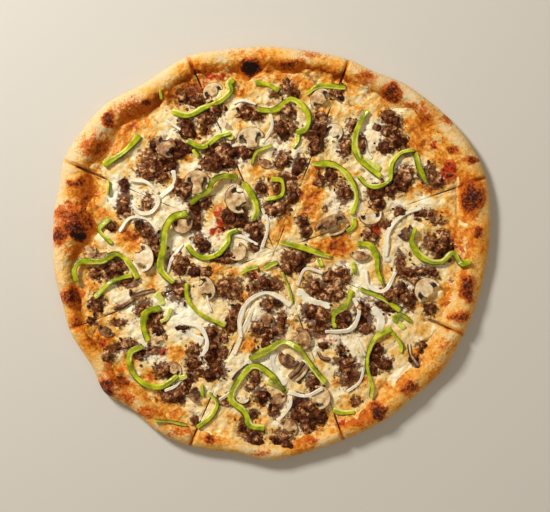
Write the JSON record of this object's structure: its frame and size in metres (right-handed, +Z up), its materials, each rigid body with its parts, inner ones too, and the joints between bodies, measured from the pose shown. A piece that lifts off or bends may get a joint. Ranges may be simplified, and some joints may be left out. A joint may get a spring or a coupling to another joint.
{
  "type": "new york-style pizza",
  "caption": "Large thin-crust pizza with a puffed, charred rim, cut into slices that lie together, topped with crumbled beef, mushroom slices, green pepper and onion strips.",
  "frame": {"origin": "centre of the pie's bounding box, on the plane of its underside", "axes": "+Z up, out of the topped side; +X along the pie's widest way; +Y across it, towards the slice that the picture shows at the top"},
  "size_m": [0.47, 0.444, 0.0237],
  "materials": {
    "crust": "baked dough, dry and matt, golden to charred",
    "cheese": "melted cheese, slightly oily, with red sauce and beef crumbles",
    "mushroom": "baked, satin",
    "pepper": "baked skin, glossy",
    "onion": "baked, glossy and slightly clear"
  },
  "bodies": {
    "root": {"crust_1": "crust", "crust_2": "crust", "crust_3": "crust", "crust_4": "crust", "crust_5": "crust", "crust_6": "crust", "crust_7": "crust", "crust_8": "crust", "cheese_1": "cheese", "cheese_2": "cheese", "cheese_3": "cheese", "cheese_4": "cheese", "cheese_5": "cheese", "cheese_6": "cheese", "cheese_7": "cheese", "cheese_8": "cheese", "mushroom_1": "mushroom", "mushroom_2": "mushroom", "mushroom_3": "mushroom", "mushroom_4": "mushroom", "mushroom_5": "mushroom", "mushroom_6": "mushroom", "mushroom_7": "mushroom", "mushroom_8": "mushroom", "mushroom_9": "mushroom", "mushroom_10": "mushroom", "mushroom_11": "mushroom", "mushroom_12": "mushroom", "mushroom_13": "mushroom", "pepper_1": "pepper", "pepper_2": "pepper", "pepper_3": "pepper", "pepper_4": "pepper", "pepper_5": "pepper", "pepper_6": "pepper", "pepper_7": "pepper", "pepper_8": "pepper", "pepper_9": "pepper", "pepper_10": "pepper", "pepper_11": "pepper", "pepper_12": "pepper", "pepper_13": "pepper", "pepper_14": "pepper", "pepper_15": "pepper", "pepper_16": "pepper", "pepper_17": "pepper", "pepper_18": "pepper", "pepper_19": "pepper", "pepper_20": "pepper", "pepper_21": "pepper", "onion_1": "onion", "onion_2": "onion", "onion_3": "onion", "onion_4": "onion", "onion_5": "onion", "onion_6": "onion", "onion_7": "onion", "onion_8": "onion", "onion_9": "onion", "onion_10": "onion"}
  },
  "joints": []
}
